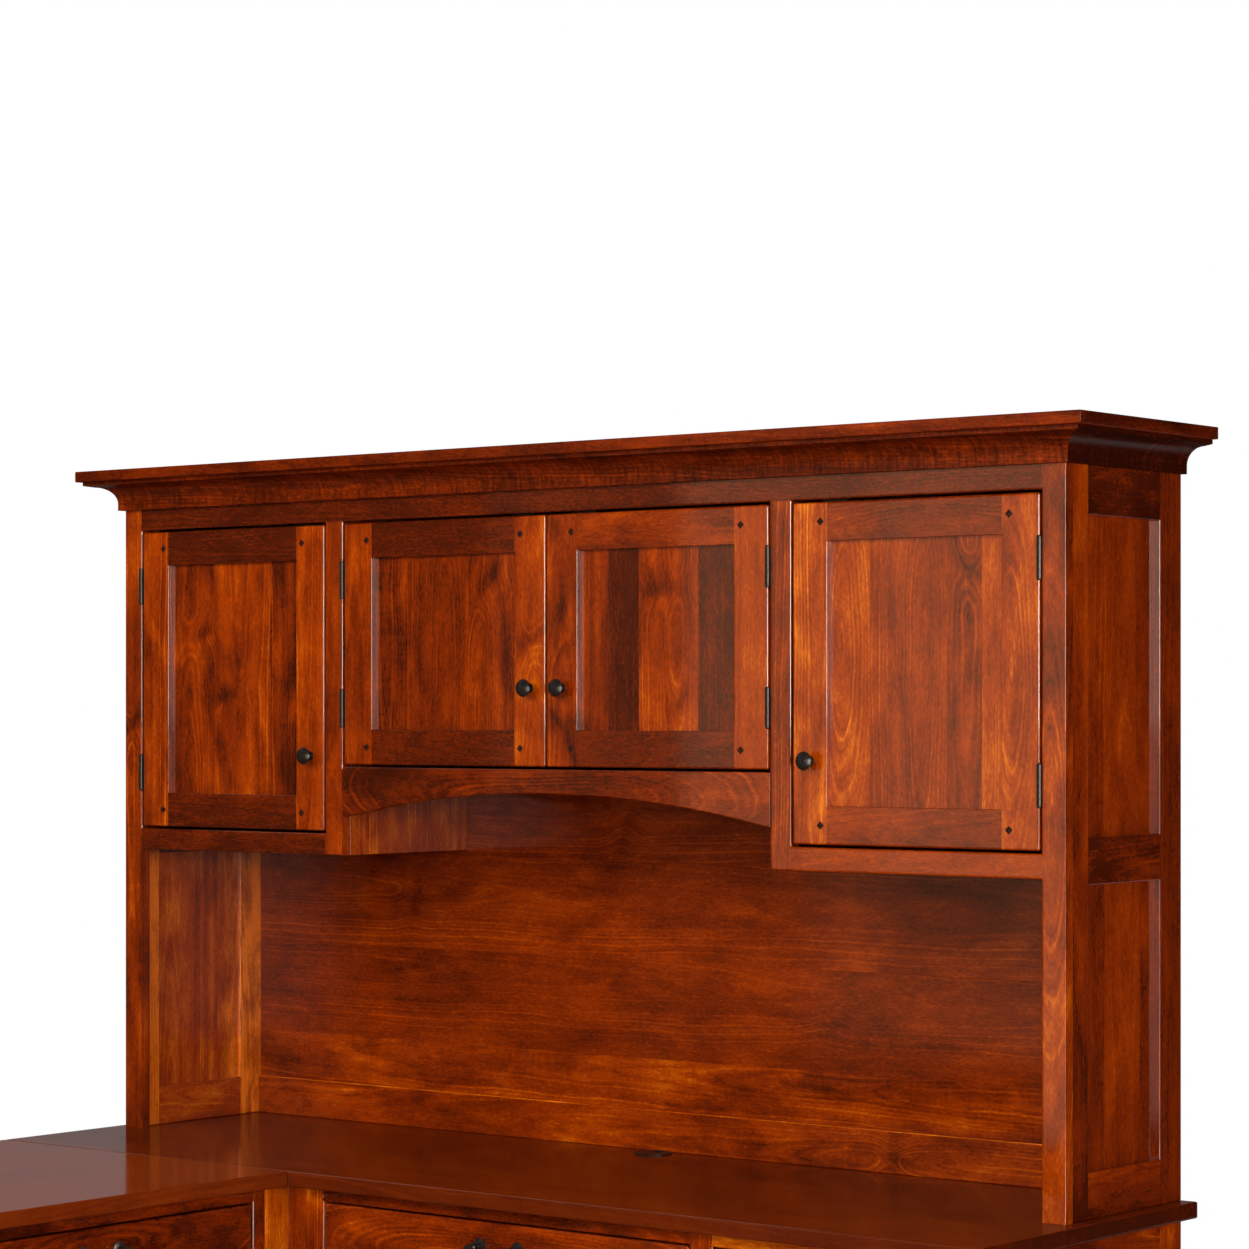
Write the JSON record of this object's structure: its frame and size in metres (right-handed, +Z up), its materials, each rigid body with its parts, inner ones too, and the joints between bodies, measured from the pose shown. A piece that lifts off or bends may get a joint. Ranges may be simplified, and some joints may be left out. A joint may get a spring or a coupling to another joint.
{
  "type": "l-shaped desk with hutch",
  "caption": "L-shaped wooden desk with a return, drawer pedestals and pencil drawers, carrying a hutch of panelled cabinet doors over an open bay, with an arched valance and a coved crown.",
  "frame": {"origin": "on the floor, at the middle of the whole desk in plan", "axes": "+X along the main table to its right, +Y from its user to its back, +Z up"},
  "size_m": [2.056, 1.806, 1.917],
  "materials": {
    "stained_maple": "semi-gloss lacquer",
    "worktop_maple": "gloss lacquer",
    "inner_maple": "satin lacquer",
    "drawer_maple": "clear satin lacquer",
    "dark_peg": "dark stain",
    "dark_bronze": "oil-rubbed bronze",
    "black_plastic": "moulded",
    "nylon": "moulded"
  },
  "bodies": {
    "desk": {"crown_cap": "stained_maple", "crown_moulding": "stained_maple", "hutch_face_frame": "stained_maple", "arched_valance": "stained_maple", "hutch_end_frames": "stained_maple", "hutch_end_panels": "stained_maple", "hutch_back_boards": "stained_maple", "hutch_cabinet_boards": "stained_maple", "hutch_shelves": "inner_maple", "hinge_frame_leaves": "dark_bronze", "door_catches": "black_plastic", "desk_main_top": "worktop_maple", "desk_return_top": "worktop_maple", "grommet_sleeve": "black_plastic", "desk_face_frames": "stained_maple", "desk_wall_frames": "stained_maple", "desk_wall_panels": "stained_maple", "pedestal_boards": "inner_maple", "floor_glides": "nylon"},
    "outer_left_door": {"outer_left_door_frame": "stained_maple", "outer_left_door_panel": "stained_maple", "outer_left_door_pegs": "dark_peg", "outer_left_door_hardware": "dark_bronze"},
    "centre_left_door": {"centre_left_door_frame": "stained_maple", "centre_left_door_panel": "stained_maple", "centre_left_door_pegs": "dark_peg", "centre_left_door_hardware": "dark_bronze"},
    "centre_right_door": {"centre_right_door_frame": "stained_maple", "centre_right_door_panel": "stained_maple", "centre_right_door_pegs": "dark_peg", "centre_right_door_hardware": "dark_bronze"},
    "outer_right_door": {"outer_right_door_frame": "stained_maple", "outer_right_door_panel": "stained_maple", "outer_right_door_pegs": "dark_peg", "outer_right_door_hardware": "dark_bronze"},
    "main_pencil_drawer": {"main_pencil_drawer_front": "stained_maple", "main_pencil_drawer_box": "drawer_maple", "main_pencil_drawer_pull_posts": "dark_bronze"},
    "main_pencil_drawer_bail": {"main_pencil_drawer_bail": "dark_bronze"},
    "main_upper_drawer": {"main_upper_drawer_front": "stained_maple", "main_upper_drawer_box": "drawer_maple", "main_upper_drawer_pull_posts": "dark_bronze"},
    "main_upper_drawer_bail": {"main_upper_drawer_bail": "dark_bronze"},
    "main_file_drawer": {"main_file_drawer_front": "stained_maple", "main_file_drawer_box": "drawer_maple", "main_file_drawer_pull_posts": "dark_bronze"},
    "main_file_drawer_bail": {"main_file_drawer_bail": "dark_bronze"},
    "return_pencil_drawer": {"return_pencil_drawer_front": "stained_maple", "return_pencil_drawer_box": "drawer_maple", "return_pencil_drawer_pull_posts": "dark_bronze"},
    "return_pencil_drawer_bail": {"return_pencil_drawer_bail": "dark_bronze"},
    "return_upper_drawer": {"return_upper_drawer_front": "stained_maple", "return_upper_drawer_box": "drawer_maple", "return_upper_drawer_pull_posts": "dark_bronze"},
    "return_upper_drawer_bail": {"return_upper_drawer_bail": "dark_bronze"},
    "return_file_drawer": {"return_file_drawer_front": "stained_maple", "return_file_drawer_box": "drawer_maple", "return_file_drawer_pull_posts": "dark_bronze"},
    "return_file_drawer_bail": {"return_file_drawer_bail": "dark_bronze"},
    "grommet_cap": {"grommet_cap": "black_plastic"}
  },
  "joints": [
    {"name": "outer_left_door_hinge", "type": "hinge", "parent": "desk", "child": "outer_left_door", "pos_m": [-0.923, 0.5635, 1.416], "axis": [0, 0, -1], "range_deg": [0, 110]},
    {"name": "centre_left_door_hinge", "type": "hinge", "parent": "desk", "child": "centre_left_door", "pos_m": [-0.441, 0.5635, 1.528], "axis": [0, 0, -1], "range_deg": [0, 110]},
    {"name": "centre_right_door_hinge", "type": "hinge", "parent": "desk", "child": "centre_right_door", "pos_m": [0.441, 0.5635, 1.528], "axis": [0, 0, 1], "range_deg": [0, 110]},
    {"name": "outer_right_door_hinge", "type": "hinge", "parent": "desk", "child": "outer_right_door", "pos_m": [0.923, 0.5635, 1.416], "axis": [0, 0, 1], "range_deg": [0, 110]},
    {"name": "main_pencil_drawer_slide", "type": "slide", "parent": "desk", "child": "main_pencil_drawer", "axis": [0, -1, 0], "range_m": [0, 0.3]},
    {"name": "main_pencil_drawer_bail_swing", "type": "hinge", "parent": "main_pencil_drawer", "child": "main_pencil_drawer_bail", "pos_m": [0.102, 0.317, 0.6755], "axis": [-1, 0, 0], "range_deg": [0, 90]},
    {"name": "main_upper_drawer_slide", "type": "slide", "parent": "desk", "child": "main_upper_drawer", "axis": [0, -1, 0], "range_m": [0, 0.38]},
    {"name": "main_upper_drawer_bail_swing", "type": "hinge", "parent": "main_upper_drawer", "child": "main_upper_drawer_bail", "pos_m": [0.7175, 0.317, 0.616], "axis": [-1, 0, 0], "range_deg": [0, 90]},
    {"name": "main_file_drawer_slide", "type": "slide", "parent": "desk", "child": "main_file_drawer", "axis": [0, -1, 0], "range_m": [0, 0.38]},
    {"name": "main_file_drawer_bail_swing", "type": "hinge", "parent": "main_file_drawer", "child": "main_file_drawer_bail", "pos_m": [0.7175, 0.317, 0.302], "axis": [-1, 0, 0], "range_deg": [0, 90]},
    {"name": "return_pencil_drawer_slide", "type": "slide", "parent": "desk", "child": "return_pencil_drawer", "axis": [-1, 0, 0], "range_m": [-0.3, 0]},
    {"name": "return_pencil_drawer_bail_swing", "type": "hinge", "parent": "return_pencil_drawer", "child": "return_pencil_drawer_bail", "pos_m": [-0.327, -0.071, 0.6755], "axis": [0, -1, 0], "range_deg": [0, 90]},
    {"name": "return_upper_drawer_slide", "type": "slide", "parent": "desk", "child": "return_upper_drawer", "axis": [1, 0, 0], "range_m": [0, 0.42]},
    {"name": "return_upper_drawer_bail_swing", "type": "hinge", "parent": "return_upper_drawer", "child": "return_upper_drawer_bail", "pos_m": [-0.327, -0.638, 0.616], "axis": [0, -1, 0], "range_deg": [0, 90]},
    {"name": "return_file_drawer_slide", "type": "slide", "parent": "desk", "child": "return_file_drawer", "axis": [1, 0, 0], "range_m": [0, 0.42]},
    {"name": "return_file_drawer_bail_swing", "type": "hinge", "parent": "return_file_drawer", "child": "return_file_drawer_bail", "pos_m": [-0.327, -0.638, 0.302], "axis": [0, -1, 0], "range_deg": [0, 90]},
    {"name": "grommet_cap_turn", "type": "hinge", "parent": "desk", "child": "grommet_cap", "pos_m": [0, 0.844, 0.7645], "axis": [0, 0, 1], "continuous": true}
  ]
}
